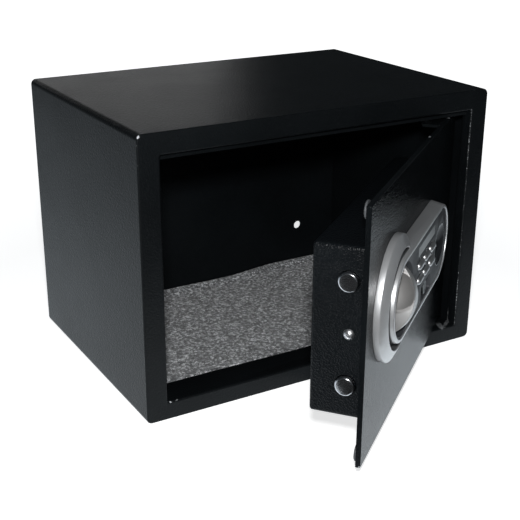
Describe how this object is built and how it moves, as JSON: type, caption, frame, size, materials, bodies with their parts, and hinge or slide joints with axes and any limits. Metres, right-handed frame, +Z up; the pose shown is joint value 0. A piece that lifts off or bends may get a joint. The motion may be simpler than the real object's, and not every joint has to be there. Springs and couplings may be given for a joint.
{
  "type": "biometric safe",
  "caption": "Small black steel safe with its door ajar, a silver fingerprint and keypad pod with a half-moon knob, and two round locking bolts.",
  "frame": {"origin": "centre of the base, on the surface the safe stands on", "axes": "+Z up, +X to the right seen from the front, the front faces -Y; the door stands 38.9 degrees open at rest"},
  "size_m": [0.35, 0.4107, 0.25],
  "materials": {
    "black_coat": "satin, fine orange-peel powder coat",
    "wrinkle_coat": "coarse wrinkle powder coat",
    "grey_felt": "speckled needle felt",
    "zinc_plate": "zinc plated, satin",
    "bright_chrome": "polished",
    "chromed_plastic": "polished plating",
    "nylon": "matt",
    "milky_rubber": "soft, milky grey",
    "silver_paint": "satin metallic paint",
    "slate_panel": "satin",
    "dark_plastic": "matt",
    "smoke_gloss": "gloss",
    "sensor_glass": "dark, gloss",
    "window_glass": "grey-green display",
    "board_green": "solder mask",
    "coil_copper": "enamelled wire",
    "cell_wrap": "plain sleeve",
    "red_plastic": "satin"
  },
  "bodies": {
    "safe_body": {"body_shell": "black_coat", "front_frame": "black_coat", "back_panel": "black_coat", "floor_mat": "grey_felt"},
    "door": {"door_plate": "black_coat", "hinge_bracket_upper": "black_coat", "hinge_bracket_lower": "black_coat", "hinge_pin_upper": "zinc_plate", "hinge_pin_lower": "zinc_plate", "hinge_spacer": "nylon", "door_bumpers": "milky_rubber", "lock_housing": "wrinkle_coat", "housing_screws": "zinc_plate", "spindle_bush": "nylon", "guide_studs": "zinc_plate", "pod_shell": "silver_paint", "face_panel": "slate_panel", "display_window": "window_glass", "display_module": "board_green", "control_board": "board_green", "pod_screws": "zinc_plate", "finger_well": "smoke_gloss", "fingerprint_sensor": "sensor_glass", "lock_cylinder": "zinc_plate", "solenoid_frame": "zinc_plate", "solenoid_coil": "coil_copper", "plunger_spring": "bright_chrome", "battery_tray": "dark_plastic", "battery_contacts": "bright_chrome", "battery_cells": "cell_wrap", "cover_pin": "zinc_plate", "reset_switch": "dark_plastic"},
    "bolt_work": {"bolt_carriage": "zinc_plate", "bolt_upper": "bright_chrome", "bolt_lower": "bright_chrome"},
    "knob": {"knob_base": "dark_plastic", "knob_grip": "silver_paint", "knob_spindle": "zinc_plate", "knob_crank": "zinc_plate", "crank_screw": "zinc_plate"},
    "plunger": {"solenoid_plunger": "bright_chrome", "release_fork": "zinc_plate"},
    "key_plug": {"lock_plug": "bright_chrome", "key_cam": "zinc_plate"},
    "battery_door": {"battery_cover": "dark_plastic"},
    "reset": {"reset_button": "red_plastic"},
    "keypad_1": {"button_1": "chromed_plastic"},
    "keypad_2": {"button_2": "chromed_plastic"},
    "keypad_3": {"button_3": "chromed_plastic"},
    "keypad_4": {"button_4": "chromed_plastic"},
    "keypad_5": {"button_5": "chromed_plastic"},
    "keypad_6": {"button_6": "chromed_plastic"}
  },
  "joints": [
    {"name": "door_swing", "type": "hinge", "parent": "safe_body", "child": "door", "pos_m": [0.125, -0.1, 0.124], "axis": [0, 0, 1], "range_deg": [-38.9, 56]},
    {"name": "bolt_throw", "type": "slide", "parent": "door", "child": "bolt_work", "axis": [-0.7782, -0.628, 0], "range_m": [0, 0.01816]},
    {"name": "knob_turn", "type": "hinge", "parent": "door", "child": "knob", "pos_m": [-0.02307, -0.24582, 0.131], "axis": [0.628, -0.7782, 0], "range_deg": [0, 54.01]},
    {"name": "plunger_drop", "type": "slide", "parent": "door", "child": "plunger", "axis": [0, 0, 1], "range_m": [-0.006, 0], "deforming": ["plunger_spring"]},
    {"name": "key_turn", "type": "hinge", "parent": "door", "child": "key_plug", "pos_m": [0.03737, -0.18934, 0.1087], "axis": [-0.628, 0.7782, 0], "range_deg": [0, 90]},
    {"name": "battery_cover_swing", "type": "hinge", "parent": "door", "child": "battery_door", "pos_m": [0.05535, -0.12356, 0.0899], "axis": [-0.7782, -0.628, 0], "range_deg": [0, 110]},
    {"name": "reset_press", "type": "slide", "parent": "door", "child": "reset", "axis": [0.628, -0.7782, 0], "range_m": [0, 0.0015], "stiffness_N_per_m": 300},
    {"name": "button_1_press", "type": "slide", "parent": "door", "child": "keypad_1", "axis": [-0.628, 0.7782, 0], "range_m": [0, 0.0008], "stiffness_N_per_m": 400},
    {"name": "button_2_press", "type": "slide", "parent": "door", "child": "keypad_2", "axis": [-0.628, 0.7782, 0], "range_m": [0, 0.0008], "stiffness_N_per_m": 400},
    {"name": "button_3_press", "type": "slide", "parent": "door", "child": "keypad_3", "axis": [-0.628, 0.7782, 0], "range_m": [0, 0.0008], "stiffness_N_per_m": 400},
    {"name": "button_4_press", "type": "slide", "parent": "door", "child": "keypad_4", "axis": [-0.628, 0.7782, 0], "range_m": [0, 0.0008], "stiffness_N_per_m": 400},
    {"name": "button_5_press", "type": "slide", "parent": "door", "child": "keypad_5", "axis": [-0.628, 0.7782, 0], "range_m": [0, 0.0008], "stiffness_N_per_m": 400},
    {"name": "button_6_press", "type": "slide", "parent": "door", "child": "keypad_6", "axis": [-0.628, 0.7782, 0], "range_m": [0, 0.0008], "stiffness_N_per_m": 400}
  ],
  "couplings": [
    {"joint": "knob_turn", "follows": "bolt_throw", "rad_per_m": 51.9}
  ]
}
